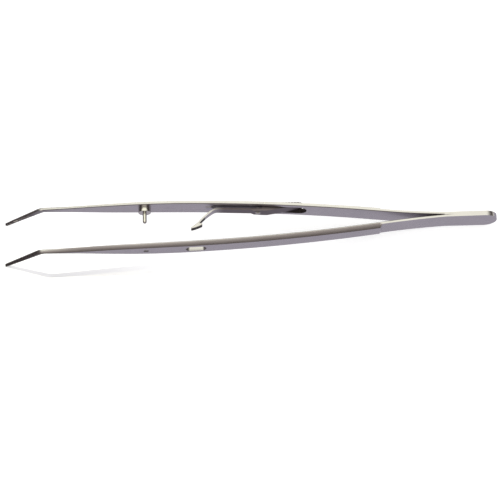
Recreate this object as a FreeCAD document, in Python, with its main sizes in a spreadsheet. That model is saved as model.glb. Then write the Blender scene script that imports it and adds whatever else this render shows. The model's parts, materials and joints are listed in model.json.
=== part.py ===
import FreeCAD, Part
import Sketcher
import math
import os

from FreeCAD import Placement, Rotation, Vector

# Self-locking dressing pliers: two spring arms welded at the heel, bent tips, a guide pin, and a lock lever
# on a cross pin in a window of the upper arm, whose hook goes through a slot in the lower arm.
# Tool frame: the heel end is at x = 0 and the tips are at -x, y goes from the lower arm to the upper arm,
# z runs across the arms' width and the contact plane of the welded heel is y = 0. A reach is a distance from
# the heel end. All lengths are in millimetres and all angles in degrees.

doc = FreeCAD.newDocument("dressing_pliers")

SIZES = {
    # Spring arms, seen from the edge
    "weld_reach": 16.2,
    "step_reach": 36.4,
    "crown_reach": 114.0,
    "step_slope": 6.9,
    "crown_half_gap": 6.52,
    "tip_half_gap": 6.62,
    "heel_thickness": 0.78,
    "step_run": 0.7,
    "rear_thickness": 1.6,
    "crown_thickness": 1.38,
    "bend_thickness": 1.15,
    "tip_thickness": 0.78,
    # Spring arms, seen from the side
    "heel_radius": 4.1,
    "shoulder_reach": 30.0,
    "arm_half_width": 3.7,
    "taper_length": 34.0,
    "fade_length": 12.0,
    "taper_slope": 6.2,
    "bend_reach": 142.0,
    "bend_half_width": 0.88,
    "bend_radius": 2.6,
    "bend_angle": 42.5,
    "tip_length": 14.9,
    "tip_radius": 0.45,
    # Ground bevels on the two outer long edges of each arm, which leave a narrow land beside the inner face
    "edge_land": 0.3,
    "fade_bevel": 1.15,
    "bend_bevel": 0.78,
    "tip_bevel": 0.38,
    # The bevels run out over the step, this far above the corner of the plain heel
    "bevel_runout": 0.02,
    # Fine cross serrations inside the tips
    "groove_count": 12,
    "groove_pitch": 0.9,
    "groove_depth": 0.12,
    # Window for the lever, slot for the hook
    "window_rear_reach": 59.7,
    "window_front_reach": 90.0,
    "window_width": 4.6,
    "slot_rear_reach": 91.6,
    "slot_length": 6.4,
    "slot_width": 3.2,
    # Guide pin
    "guide_reach": 110.6,
    "guide_radius": 0.635,
    "guide_height": 5.1,
    "collar_radius": 1.97,
    "collar_height": 1.5,
    "shank_radius": 0.9,
    "guide_clearance": 0.17,
    # Pivot pin of the lever
    "pivot_reach": 72.9,
    "pivot_radius": 0.42,
    "pivot_depth": 0.78,
    "pivot_clearance": 0.03,
    # Lock lever
    "knuckle_radius": 0.85,
    "knuckle_lean": 20.0,
    "lever_gap": 0.4,
    "strip_thickness": 0.55,
    "strip_width": 2.9,
    "body_thickness": 0.86,
    "body_front": 3.4,
    "pad_end_clearance": 1.0,
    "pad_thickness": 0.8,
    "pad_side_clearance": 0.4,
    "pad_stand": 0.3,
    "cover_depth": 0.38,
    "cover_thickness": 0.4,
    "cover_end_clearance": 0.7,
    "ridge_count": 6,
    "ridge_pitch": 0.9,
    "ridge_start": 1.35,
    "ridge_depth": 0.14,
    "neck_bend_radius": 3.0,
    "neck_angle": 36.0,
    "neck_radius": 21.0,
    "hook_width": 2.1,
    "toe_clearance": 0.32,
    "toe_short": 0.8,
    "toe_length": 1.0,
    "toe_thickness": 0.4,
    "foot_length": 3.5,
    "foot_thickness": 1.77,
    "nose_radius": 0.26,
    "sole_sag": 0.12,
    # Leaf spring and its rivet
    "leaf_thickness": 0.2,
    "leaf_width": 1.7,
    "leaf_rise_length": 6.1,
    "leaf_foot_length": 1.4,
    "leaf_rear": 1.15,
    "rivet_place": 2.1,
    "rivet_radius": 0.45,
    "rivet_head_radius": 0.9,
    "rivet_head_height": 0.5,
    "rivet_tail_radius": 0.7,
    "rivet_tail_height": 0.18,
    # How far cutting tools reach past the metal
    "overcut": 6.0,
}

sheet = doc.addObject("Spreadsheet::Sheet", "size")
for row, (alias, number) in enumerate(SIZES.items(), start=1):
    sheet.set(f"A{row}", alias.replace("_", " "))
    sheet.set(f"B{row}", str(number))
    sheet.setAlias(f"B{row}", alias)
doc.recompute()


def size(alias):
    return float(sheet.get(alias))


def turn(angle):
    return math.radians(angle)


# Inner face of the upper arm: flat along the weld, an arc to the step, a long bow to the crown, then straight

def arc_slope(start_sine, travel, radius):
    return math.asin(start_sine + travel / radius)


tip_run = size("bend_radius") * math.sin(turn(size("bend_angle")))
tip_centre_reach = size("bend_reach") + tip_run + size("tip_length") * math.cos(turn(size("bend_angle")))
tip_reach = tip_centre_reach + size("tip_radius")
front_slope = math.atan((size("tip_half_gap") - size("crown_half_gap")) / (tip_reach - size("crown_reach")))
step_slope = turn(size("step_slope"))
bow_length = size("crown_reach") - size("step_reach")
bow_radius = bow_length / (math.sin(step_slope) - math.sin(front_slope))
step_half_gap = size("crown_half_gap") - bow_radius * (math.cos(front_slope) - math.cos(step_slope))
vee_length = size("step_reach") - size("weld_reach")
vee_slope = 2 * math.atan(step_half_gap / vee_length) - step_slope
vee_radius = vee_length / (math.sin(step_slope) - math.sin(vee_slope))


def inner_slope(reach):
    if reach <= size("weld_reach"):
        return 0.0
    if reach <= size("step_reach"):
        return arc_slope(math.sin(vee_slope), reach - size("weld_reach"), vee_radius)
    if reach <= size("crown_reach"):
        return arc_slope(math.sin(front_slope), size("crown_reach") - reach, bow_radius)
    return front_slope


def inner(reach):
    if reach <= size("weld_reach"):
        return 0.0
    if reach <= size("step_reach"):
        return vee_radius * (math.cos(vee_slope) - math.cos(inner_slope(reach)))
    if reach <= size("crown_reach"):
        return size("crown_half_gap") - bow_radius * (math.cos(front_slope) - math.cos(inner_slope(reach)))
    return size("crown_half_gap") + (reach - size("crown_reach")) * math.tan(front_slope)


def between(reach, start, end, first, last):
    return first + (last - first) * (reach - start) / (end - start)


def thickness(reach):
    if reach <= size("step_reach"):
        return size("heel_thickness")
    if reach <= size("crown_reach"):
        limits = size("step_reach"), size("crown_reach")
        return between(reach, *limits, size("rear_thickness"), size("crown_thickness"))
    if reach <= size("bend_reach"):
        limits = size("crown_reach"), size("bend_reach")
        return between(reach, *limits, size("crown_thickness"), size("bend_thickness"))
    return between(reach, size("bend_reach"), tip_reach, size("bend_thickness"), size("tip_thickness"))


def bevel(reach):
    if reach <= size("crown_reach"):
        return thickness(reach) - size("edge_land")
    if reach <= taper_middle_reach:
        full = size("crown_thickness") - size("edge_land")
        return between(reach, size("crown_reach"), taper_middle_reach, full, size("fade_bevel"))
    if reach <= size("bend_reach"):
        return between(reach, taper_middle_reach, size("bend_reach"), size("fade_bevel"), size("bend_bevel"))
    return between(reach, size("bend_reach"), tip_reach, size("bend_bevel"), size("tip_bevel"))


# Side outline: a round heel, near parallel edges, a taper of two arcs, the bend, and a slim round-ended tip

taper_slope = turn(size("taper_slope"))
taper_middle_reach = size("bend_reach") - size("fade_length")
taper_reach = taper_middle_reach - size("taper_length")
taper_radius = size("taper_length") / math.sin(taper_slope)
middle_half_width = size("arm_half_width") - taper_radius * (1 - math.cos(taper_slope))
fade_mean = math.atan((middle_half_width - size("bend_half_width")) / size("fade_length"))
fade_slope = 2 * fade_mean - taper_slope
fade_radius = size("fade_length") / (math.sin(taper_slope) - math.sin(fade_slope))
bend = turn(size("bend_angle"))
tip_along = Vector(-math.cos(bend), 0, -math.sin(bend))
tip_across = Vector(-math.sin(bend), 0, math.cos(bend))
bend_centre = Vector(-size("bend_reach"), 0, -size("bend_radius"))
tip_root = bend_centre + tip_across * size("bend_radius")
tip_centre = tip_root + tip_along * size("tip_length")


def half_width(reach):
    if reach <= size("shoulder_reach"):
        limits = size("heel_radius"), size("shoulder_reach")
        return between(reach, *limits, size("heel_radius"), size("arm_half_width"))
    if reach <= taper_reach:
        return size("arm_half_width")
    if reach <= taper_middle_reach:
        slope = math.asin((reach - taper_reach) / taper_radius)
        return size("arm_half_width") - taper_radius * (1 - math.cos(slope))
    slope = math.asin(math.sin(taper_slope) - (reach - taper_middle_reach) / fade_radius)
    return middle_half_width - fade_radius * (math.cos(slope) - math.cos(taper_slope))


def edge_height(reach, side):
    # Height of the upper (side 1) or lower (side -1) edge of the outline
    if reach <= size("bend_reach"):
        return side * half_width(reach)
    radius = size("bend_radius") + side * size("bend_half_width")
    past = reach - size("bend_reach")
    if past <= radius * math.sin(bend):
        return math.sqrt(radius ** 2 - past ** 2) - size("bend_radius")
    start = tip_root + tip_across * (side * size("bend_half_width"))
    end = tip_centre + tip_across * (side * size("tip_radius"))
    return between(reach, -start.x, -end.x, start.z, end.z)


# Curves are joined end to end from lines and arcs; an arc is given by a function and its two reaches

def arc_of(curve, start, end):
    middle = (start + end) / 2
    return Part.Arc(curve(start), curve(middle), curve(end)).toShape()


def line_of(*points):
    return [Part.LineSegment(a, b).toShape() for a, b in zip(points, points[1:]) if (a - b).Length > 1e-7]


def solid_of(edges, direction):
    wire = Part.Wire(Part.sortEdges(edges)[0])
    return Part.Face(wire).extrude(direction)


def inner_point(reach):
    return Vector(-reach, inner(reach), 0)


def outer_point(reach):
    return Vector(-reach, inner(reach) + thickness(reach), 0)


def heel_outer_point(reach):
    return Vector(-reach, inner(reach) + size("heel_thickness"), 0)


def arm_blank_shape():
    # The blank is what four long extrusions share: its edge view, its side view and one for each bevel
    far = tip_reach + size("overcut")
    tall = Vector(0, 0, size("heel_radius") * 2 + size("overcut") * 4)
    ramp = size("step_reach") + size("step_run")
    weld = size("weld_reach")
    step = size("step_reach")
    crown = size("crown_reach")
    hook_bend = size("bend_reach")
    heel_corner = Vector(0, size("heel_thickness"), 0)
    edges = line_of(heel_corner, Vector(0, 0, 0), inner_point(weld))
    edges += [arc_of(inner_point, weld, step), arc_of(inner_point, step, crown)]
    edges += line_of(inner_point(crown), inner_point(far), outer_point(far), outer_point(hook_bend))
    edges += line_of(outer_point(hook_bend), outer_point(crown))
    edges += [arc_of(outer_point, ramp, crown)]
    edges += line_of(outer_point(ramp), heel_outer_point(step))
    edges += [arc_of(heel_outer_point, weld, step)]
    edges += line_of(heel_outer_point(weld), heel_corner)
    band = solid_of(edges, tall)
    band.translate(tall * -0.5)

    deep = Vector(0, size("tip_half_gap") + size("rear_thickness") + size("overcut"), 0)
    edges = [Part.Arc(*[Vector(-size("heel_radius") + size("heel_radius") * x, 0, size("heel_radius") * z)
                        for x, z in ((0, 1), (1, 0), (0, -1))]).toShape()]
    for side in (1, -1):
        def edge_point(reach, side=side):
            return Vector(-reach, 0, edge_height(reach, side))
        bend_end = hook_bend + (size("bend_radius") + side * size("bend_half_width")) * math.sin(bend)
        straight = [size("heel_radius"), size("shoulder_reach"), taper_reach]
        edges += line_of(*[edge_point(reach) for reach in straight])
        edges.append(arc_of(edge_point, taper_reach, taper_middle_reach))
        edges.append(arc_of(edge_point, taper_middle_reach, hook_bend))
        edges.append(arc_of(edge_point, hook_bend, bend_end))
        edges += line_of(edge_point(bend_end), tip_centre + tip_across * (side * size("tip_radius")))
    tip_ends = [tip_centre + tip_across * size("tip_radius"), tip_centre + tip_along * size("tip_radius"),
                tip_centre - tip_across * size("tip_radius")]
    edges.append(Part.Arc(*tip_ends).toShape())
    outline = solid_of(edges, deep)
    blank = band.common(outline)

    high = size("heel_radius") + size("overcut") * 2
    for side in (1, -1):
        def bevel_point(reach, side=side):
            height = side * edge_height(reach, side)
            level = (inner(reach) + thickness(reach) + height - bevel(reach)) / 2
            return Vector(-reach, level, side * level)
        radius = size("bend_radius") + side * size("bend_half_width")
        bend_end = hook_bend + radius * math.sin(bend)
        heel_corner_level = (inner(step) + size("heel_thickness") + side * edge_height(step, side)) / 2
        foot_level = heel_corner_level + size("bevel_runout")
        step_foot = Vector(-step, foot_level, side * foot_level)
        start = Vector(-step, high, side * high)
        heel = Vector(size("overcut"), high, side * high)
        below = [Vector(size("overcut"), -high, side * -high), Vector(-far, -high, side * -high)]
        edges = line_of(bevel_point(ramp), step_foot, start, heel, *below, bevel_point(far))
        marks = [ramp, (ramp + taper_reach) / 2, taper_reach, crown,
                 taper_middle_reach, hook_bend, bend_end]
        edges += [arc_of(bevel_point, a, b) for a, b in zip(marks, marks[1:])]
        edges += line_of(bevel_point(bend_end), bevel_point(far))
        sweep = Vector(0, high * 2, -side * high * 2)
        prism = solid_of(edges, sweep * 2)
        prism.translate(sweep * -1)
        blank = blank.common(prism)
    return blank.removeSplitter()


# The closed pose sets the places of the hook and of the guide pin's hole: the upper arm turns about the front
# end of the weld until the tips meet

close_angle = 2 * math.atan(size("tip_half_gap") / (tip_reach - size("weld_reach")))


def closed(point):
    # Where a point of the upper arm lies when the tips meet
    hinge = Vector(-size("weld_reach"), 0, 0)
    return Rotation(Vector(0, 0, 1), math.degrees(close_angle)).multVec(point - hinge) + hinge


# Resting pose: the heel's lower edge and both tips lie on the surface, the origin is under the middle

heel_corner_low = Vector(-size("heel_radius"), 0, -size("heel_radius"))
support = tip_centre - heel_corner_low
rest_tilt = math.atan2(-support.z, -support.x) + math.asin(size("tip_radius") / support.Length)
rest_turn = Rotation(Vector(0, 1, 0), math.degrees(rest_tilt))
rightmost = rest_turn.multVec(Vector(-size("heel_radius"), 0, 0)).x + size("heel_radius")
leftmost = rest_turn.multVec(tip_centre).x - size("tip_radius")
lowest = rest_turn.multVec(heel_corner_low).z
rest = Placement(Vector(-(rightmost + leftmost) / 2, 0, -lowest), rest_turn)


# Small builders for bound features

def add(kind, name, **bound):
    thing = doc.addObject(kind, name)
    for prop, expression in bound.items():
        thing.setExpression(prop, expression)
    return thing


def cut(name, base, *tools):
    if len(tools) > 1:
        joined = doc.addObject("Part::MultiFuse", name + "_tools")
        joined.Shapes = list(tools)
        tools = [joined]
    thing = doc.addObject("Part::Cut", name)
    thing.Base = base
    thing.Tool = tools[0]
    return thing


ACROSS = Rotation(Vector(1, 0, 0), -90)


def long_hole(name, rear, length, width):
    # A round-ended slot cut through an arm along y; rear, length and width are sheet names or formulas
    half = f"({width}) / 2"
    depth = "size.tip_half_gap * 2 + size.overcut * 2"
    box = add("Part::Box", name + "_middle", Length=f"{length} - ({width})", Width=depth, Height=width)
    box.setExpression("Placement.Base.x", f"-({rear}) - ({length}) + {half}")
    box.setExpression("Placement.Base.z", f"-{half}")
    ends = []
    for end, place in (("rear", f"-({rear}) - {half}"), ("front", f"-({rear}) - ({length}) + {half}")):
        round_end = add("Part::Cylinder", f"{name}_{end}", Radius=half, Height=depth)
        round_end.Placement = Placement(Vector(0, 0, 0), ACROSS)
        round_end.setExpression("Placement.Base.x", place)
        ends.append(round_end)
    return [box] + ends


def grooves(name, side):
    # Cross grooves on the inner face of one tip: square bars on edge, from near the end of the tip backwards
    bars = []
    depth = size("groove_depth")
    long = size("bend_half_width") * 4
    for index in range(int(size("groove_count"))):
        back = tip_centre - tip_along * (index * size("groove_pitch"))
        centre = Vector(back.x, side * inner(-back.x), back.z)
        bar = add("Part::Box", f"{name}_{index + 1}")
        bar.setExpression("Length", "size.groove_depth * sqrt(2)")
        bar.setExpression("Width", "size.groove_depth * sqrt(2)")
        bar.setExpression("Height", "size.bend_half_width * 4")
        upright = Rotation(Vector(0, 1, 0), -math.degrees(bend))
        edgewise = Rotation(Vector(0, 0, 1), 45)
        aim = upright.multiply(edgewise)
        middle = Vector(depth / math.sqrt(2), depth / math.sqrt(2), long / 2)
        bar.Placement = Placement(centre - aim.multVec(middle), aim)
        bars.append(bar)
    return bars


def profile(name, edges, width):
    # A closed outline in the lever's own plane, carried across the lever to the given width
    outline = doc.addObject("Part::Feature", name + "_outline")
    outline.Shape = Part.Wire(Part.sortEdges(edges)[0])
    plate = add("Part::Extrusion", name, LengthFwd=width)
    plate.Base = outline
    plate.DirMode = "Custom"
    plate.Dir = Vector(0, 0, 1)
    plate.Symmetric = True
    plate.Solid = True
    return plate


# Arms

blank = doc.addObject("Part::Feature", "arm_blank")
blank.Shape = arm_blank_shape()
mirrored = doc.addObject("Part::Mirroring", "lower_blank")
mirrored.Source = blank
mirrored.Normal = Vector(0, 1, 0)

# Lever frame: its origin is on the inner face at the pivot, a runs along the chord to the slot, b outwards
slot_rear_point = inner_point(size("slot_rear_reach"))
pivot_foot = inner_point(size("pivot_reach"))
chord = math.atan2(slot_rear_point.y - pivot_foot.y, pivot_foot.x - slot_rear_point.x)
lever_place = Placement(pivot_foot, Rotation(Vector(0, 0, 1), -math.degrees(chord)))
lever_back = lever_place.inverse()
pivot_centre = lever_place.multVec(Vector(0, size("pivot_depth"), 0))

pivot_hole = add("Part::Cylinder", "pivot_hole", Radius="size.pivot_radius")
pivot_hole.setExpression("Height", "size.arm_half_width * 2 + size.overcut")
pivot_hole.Placement = Placement(pivot_centre, Rotation())
pivot_hole.setExpression("Placement.Base.z", "-size.arm_half_width - size.overcut / 2")

# The guide pin stands square on the inner face, and its hole is where its nose arrives when the tips meet
guide_aim = Rotation(Vector(0, 0, 1), -math.degrees(inner_slope(size("guide_reach"))))
guide_place = Placement(inner_point(size("guide_reach")), guide_aim)
guide_nose = closed(guide_place.multVec(Vector(0, -size("guide_height") + size("guide_radius"), 0)))

shank_hole = add("Part::Cylinder", "shank_hole", Radius="size.shank_radius")
shank_hole.setExpression("Height", "size.overcut * 2")
shank_hole.Placement = guide_place.multiply(Placement(Vector(0, -size("overcut"), 0), ACROSS))

nose_hole = add("Part::Cylinder", "nose_hole", Radius="size.guide_radius + size.guide_clearance")
nose_hole.setExpression("Height", "size.tip_half_gap * 2")
nose_hole.Placement = Placement(Vector(guide_nose.x, -size("tip_half_gap") * 2, 0), ACROSS)

window_length = "size.window_front_reach - size.window_rear_reach"
window = long_hole("window", "size.window_rear_reach", window_length, "size.window_width")
slot = long_hole("slot", "size.slot_rear_reach", "size.slot_length", "size.slot_width")
for tool in slot:
    tool.setExpression("Placement.Base.y", "-size.tip_half_gap * 2 - size.overcut * 2")

lower_arm = cut("lower_arm", mirrored, *slot, nose_hole, *grooves("lower_groove", -1))
upper_arm = cut("upper_arm", blank, *window, shank_hole, pivot_hole, *grooves("upper_groove", 1))

# Pivot pin: a cross pin whose ends are ground flush with the arm
pivot_bar = add("Part::Cylinder", "pivot_bar", Radius="size.pivot_radius")
pivot_bar.setExpression("Height", "size.arm_half_width * 2 + size.overcut")
pivot_bar.Placement = Placement(pivot_centre, Rotation())
pivot_bar.setExpression("Placement.Base.z", "-size.arm_half_width - size.overcut / 2")
pivot_pin = doc.addObject("Part::Common", "pivot_pin")
pivot_pin.Base = pivot_bar
pivot_pin.Tool = blank


# Guide pin: shank riveted flush in the arm, collar on the inner face, pin with a round nose

HALF_RIGHT_ANGLE = math.pi / 4


def turned_body(name, vertices, arcs):
    # Half section in the body's XY plane, turned about its Y axis; each vertex is a pair of formulas, and
    # arcs maps the index of an edge to its radius formula. In a constraint, -1 is the sketch's origin, 1 the
    # start and 2 the end of an edge
    body = doc.addObject("PartDesign::Body", name)
    sketch = body.newObject("Sketcher::SketchObject", name + "_section")
    planes = {item.Role: item for item in body.Origin.OriginFeatures}
    sketch.AttachmentSupport = [(planes["XY_Plane"], "")]
    sketch.MapMode = "FlatFace"
    points = [Vector(*[sheet_number(formula) for formula in vertex], 0) for vertex in vertices]
    count = len(points)
    for index, point in enumerate(points):
        after = points[(index + 1) % count]
        if index in arcs:
            radius = sheet_number(arcs[index])
            rise = radius * (1 - math.cos(HALF_RIGHT_ANGLE))
            middle = Vector(radius * math.sin(HALF_RIGHT_ANGLE), point.y + rise, 0)
            sketch.addGeometry(Part.Arc(point, middle, after))
        else:
            sketch.addGeometry(Part.LineSegment(point, after))
    for index in range(count):
        if index in arcs:
            sketch.addConstraint(Sketcher.Constraint("Radius", index, sheet_number(arcs[index])))
            sketch.setExpression(f"Constraints[{sketch.ConstraintCount - 1}]", arcs[index])
        previous = (index - 1) % count
        sketch.addConstraint(Sketcher.Constraint("Coincident", previous, 2, index, 1))
        for way, axis in (("DistanceX", 0), ("DistanceY", 1)):
            value = points[index][axis]
            sketch.addConstraint(Sketcher.Constraint(way, -1, 1, index, 1, value))
            sketch.setExpression(f"Constraints[{sketch.ConstraintCount - 1}]", vertices[index][axis])
    turned = body.newObject("PartDesign::Revolution", name + "_turned")
    turned.Profile = sketch
    turned.ReferenceAxis = (sketch, ["V_Axis"])
    turned.Angle = 360
    return body


def sheet_number(formula):
    value = doc.getObject("size").evalExpression(formula)
    return float(getattr(value, "Value", value))


guide_shank = thickness(size("guide_reach"))
sheet.set("D1", "shank length, from the arm's thickness at the guide pin")
sheet.set("E1", str(round(guide_shank, 6)))
sheet.setAlias("E1", "shank_length")
doc.recompute()

guide_pin = turned_body("guide_pin", [
    ("0", "-size.guide_height"),
    ("size.guide_radius", "-size.guide_height + size.guide_radius"),
    ("size.guide_radius", "-size.collar_height"),
    ("size.collar_radius", "-size.collar_height"),
    ("size.collar_radius", "0"),
    ("size.shank_radius", "0"),
    ("size.shank_radius", "size.shank_length"),
    ("0", "size.shank_length"),
], {0: "size.guide_radius"})


# Lock lever, in the lever frame: b is 0 on the inner face and negative towards the other arm

knuckle_centre = Vector(0, size("pivot_depth"), 0)
body_top = -size("lever_gap")
body_bottom = body_top - size("body_thickness")
strip_bottom = body_top - size("strip_thickness")
strip_middle = (body_top + strip_bottom) / 2
neck_angle = turn(size("neck_angle"))
half_strip = size("strip_thickness") / 2
slot_half = size("slot_width") / 2
hook_half = size("hook_width") / 2

# When the tips just meet, the toe's corners clear the slot's round rear end, and the toe is still short of
# the lower arm's outer face: the arms are squeezed on, and bow by that much before it catches on the slot
slot_corner = slot_half - math.sqrt(slot_half ** 2 - hook_half ** 2)
toe_closed = Vector(-size("slot_rear_reach") - slot_corner - size("toe_clearance"), 0, 0)
toe_closed.y = size("toe_short") - thickness(size("slot_rear_reach")) - inner(size("slot_rear_reach"))
opened = Rotation(Vector(0, 0, 1), -math.degrees(close_angle))
weld_front = Vector(-size("weld_reach"), 0, 0)
toe = lever_back.multVec(opened.multVec(toe_closed - weld_front) + weld_front)
foot_top = toe.y
foot_bottom = foot_top - size("foot_thickness")
front = toe.x - size("foot_length")


def away_from_bend(angle):
    # Direction square to the neck, on its outer side, where its slope is the given angle
    return Vector(-math.sin(angle), math.cos(angle), 0)


# The neck turns down from the strip in a short bend and runs on in a long one; it is placed so that its rear
# side meets the foot's top at the toe's root
second_from_first = away_from_bend(neck_angle) * (size("neck_bend_radius") - size("neck_radius"))
second_centre_depth = strip_middle - size("neck_bend_radius") + second_from_first.y


def angle_at(depth, offset):
    # Slope of the neck where its offset line reaches a depth
    return math.acos((depth - second_centre_depth) / (size("neck_radius") + offset))


throat_angle = angle_at(foot_top, -half_strip)
instep_angle = angle_at(foot_top + half_strip, half_strip)
throat = Vector(toe.x - size("toe_length"), foot_top, 0)
second_centre = throat - away_from_bend(throat_angle) * (size("neck_radius") - half_strip)
first_centre = second_centre - second_from_first
neck_start = first_centre.x


def neck_point(angle, offset):
    # Point of the second, long bend of the neck at a slope, offset outwards from its middle line
    return second_centre + away_from_bend(angle) * (size("neck_radius") + offset)


def first_bend_point(angle, offset):
    return first_centre + away_from_bend(angle) * (size("neck_bend_radius") + offset)


instep = neck_point(instep_angle, half_strip)

lever_edges = []
pad_length = size("pivot_reach") - size("window_rear_reach") - size("pad_end_clearance")
pad_outer = thickness(size("pivot_reach") - pad_length) + size("pad_stand")
pad_top = Vector(pad_length, pad_outer, 0)
pad_bottom = Vector(pad_length, pad_outer - size("pad_thickness"), 0)
knuckle = size("knuckle_radius")


def knuckle_point(angle):
    # Point of the knuckle's round, by its angle from the pad's line towards the hook
    return knuckle_centre + Vector(math.cos(angle), math.sin(angle), 0) * knuckle


pad_lean = turn(size("knuckle_lean"))
knuckle_rear = knuckle_point(math.pi / 2 - pad_lean)
knuckle_front = knuckle_point(math.pi)
cover_end = size("pivot_reach") - size("window_front_reach") + size("cover_end_clearance")
cover_top = size("cover_depth") + size("cover_thickness")
cover_points = [Vector(-knuckle, cover_top, 0), Vector(cover_end, cover_top, 0),
                Vector(cover_end, size("cover_depth"), 0), Vector(-knuckle, size("cover_depth"), 0)]
web_foot = Vector(-knuckle, body_top, 0)
lever_edges += line_of(pad_bottom, pad_top, knuckle_rear)
knuckle_middle = knuckle_point((math.pi * 3 / 2 - pad_lean) / 2)
lever_edges.append(Part.Arc(knuckle_rear, knuckle_middle, knuckle_front).toShape())
# A thin cover runs forward from the knuckle and closes the window above the strip
lever_edges += line_of(knuckle_front, *cover_points, web_foot, Vector(neck_start, body_top, 0))


def bend_edge(point, start, end, offset):
    middle = (start + end) / 2
    return Part.Arc(point(start, offset), point(middle, offset), point(end, offset)).toShape()


lever_edges.append(bend_edge(first_bend_point, 0, neck_angle, half_strip))
lever_edges.append(bend_edge(neck_point, neck_angle, instep_angle, half_strip))
nose_centre = Vector(front + size("nose_radius"), foot_bottom + size("nose_radius"), 0)
foot_shoulder = nose_centre + Vector(0, size("nose_radius"), 0)
foot_nose = nose_centre - Vector(size("nose_radius"), 0, 0)
sole_front = nose_centre - Vector(0, size("nose_radius"), 0)
toe_low = Vector(toe.x, toe.y - size("toe_thickness"), 0)
sole_middle = (sole_front + toe_low) * 0.5 - Vector(0, size("sole_sag"), 0)
lever_edges += line_of(instep, foot_shoulder)
lever_edges.append(Part.Arc(foot_shoulder, foot_nose, sole_front).toShape())
lever_edges.append(Part.Arc(sole_front, sole_middle, toe_low).toShape())
lever_edges += line_of(toe_low, toe, throat)
lever_edges.append(bend_edge(neck_point, neck_angle, throat_angle, -half_strip))
lever_edges.append(bend_edge(first_bend_point, 0, neck_angle, -half_strip))
body_rise = Vector(-size("body_front") - size("body_thickness"), strip_bottom, 0)
body_start = Vector(-size("body_front"), body_bottom, 0)
body_end = Vector(knuckle, body_bottom, 0)
lever_edges += line_of(Vector(neck_start, strip_bottom, 0), body_rise, body_start, body_end, pad_bottom)

lever_width = "size.window_width - size.pad_side_clearance * 2"
lever_side = profile("lever_side", lever_edges, lever_width)

pad_half = size("window_width") / 2 - size("pad_side_clearance")
strip_half = size("strip_width") / 2
flare = -size("body_front") - size("body_thickness")
plan_front = front - size("overcut")
plan_edges = []
for side in (1, -1):
    plan = [(pad_length - pad_half, pad_half), (-knuckle, pad_half), (flare, strip_half),
            (neck_start, strip_half), (throat.x, hook_half), (plan_front, hook_half)]
    plan_edges += line_of(*[Vector(a, 0, side * z) for a, z in plan])
plan_edges += line_of(Vector(plan_front, 0, hook_half), Vector(plan_front, 0, -hook_half))
pad_round = pad_length - pad_half
pad_tip = Vector(pad_length, 0, 0)
pad_corners = [Vector(pad_round, 0, pad_half), Vector(pad_round, 0, -pad_half)]
plan_edges.append(Part.Arc(pad_corners[0], pad_tip, pad_corners[1]).toShape())
plan_outline = doc.addObject("Part::Feature", "lever_plan_outline")
plan_outline.Shape = Part.Wire(Part.sortEdges(plan_edges)[0])
lever_plan = add("Part::Extrusion", "lever_plan", LengthFwd="size.overcut * 4")
lever_plan.Base = plan_outline
lever_plan.DirMode = "Custom"
lever_plan.Dir = Vector(0, 1, 0)
lever_plan.Symmetric = True
lever_plan.Solid = True
lever_blank = doc.addObject("Part::Common", "lever_blank")
lever_blank.Base = lever_side
lever_blank.Tool = lever_plan

lever_bore = add("Part::Cylinder", "lever_bore", Radius="size.pivot_radius + size.pivot_clearance")
lever_bore.setExpression("Height", "size.window_width * 2")
lever_bore.setExpression("Placement.Base.y", "size.pivot_depth")
lever_bore.setExpression("Placement.Base.z", "-size.window_width")


def rivet_hole(name):
    hole = add("Part::Cylinder", name, Radius="size.rivet_radius", Height="size.overcut")
    hole.Placement = Placement(Vector(0, 0, 0), ACROSS)
    hole.setExpression("Placement.Base.x", "-size.rivet_place")
    hole.setExpression("Placement.Base.y", "-size.overcut / 2")
    return hole


pad_slope = math.atan2(pad_top.y - knuckle_rear.y, pad_top.x - knuckle_rear.x)
ridges = []
for index in range(int(size("ridge_count"))):
    back = size("ridge_start") + size("ridge_pitch") * index
    centre = pad_top - Vector(math.cos(pad_slope), math.sin(pad_slope), 0) * back
    bar = add("Part::Box", f"ridge_{index + 1}")
    bar.setExpression("Length", "size.ridge_depth * sqrt(2)")
    bar.setExpression("Width", "size.ridge_depth * sqrt(2)")
    bar.setExpression("Height", "size.window_width")
    aim = Rotation(Vector(0, 0, 1), 45 + math.degrees(pad_slope))
    middle = Vector(size("ridge_depth"), size("ridge_depth"), size("window_width") / math.sqrt(2))
    bar.Placement = Placement(centre - aim.multVec(middle / math.sqrt(2)), aim)
    ridges.append(bar)

lock_lever = cut("lock_lever", lever_blank, lever_bore, rivet_hole("lever_rivet_hole"), *ridges)

# Leaf spring: a thin strip under the lever, whose front foot bears on the arm just past the window

bearing = lever_back.multVec(inner_point(size("window_front_reach") + size("leaf_foot_length")))
landing = lever_back.multVec(inner_point(size("window_front_reach")))
leaf_low = -size("lever_gap")
thin = size("leaf_thickness")
rise_start = landing.x + size("leaf_rise_length")
leaf_low_points = [Vector(-size("leaf_rear"), leaf_low, 0), Vector(rise_start, leaf_low, 0),
                   Vector(landing.x, landing.y - thin, 0), Vector(bearing.x, bearing.y - thin, 0)]
leaf_top_points = [point + Vector(0, thin, 0) for point in leaf_low_points]
leaf_edges = line_of(*leaf_low_points, *reversed(leaf_top_points), leaf_low_points[0])
leaf_blank = profile("leaf_blank", leaf_edges, "size.leaf_width")
leaf_spring = cut("leaf_spring", leaf_blank, rivet_hole("leaf_rivet_hole"))

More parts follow.
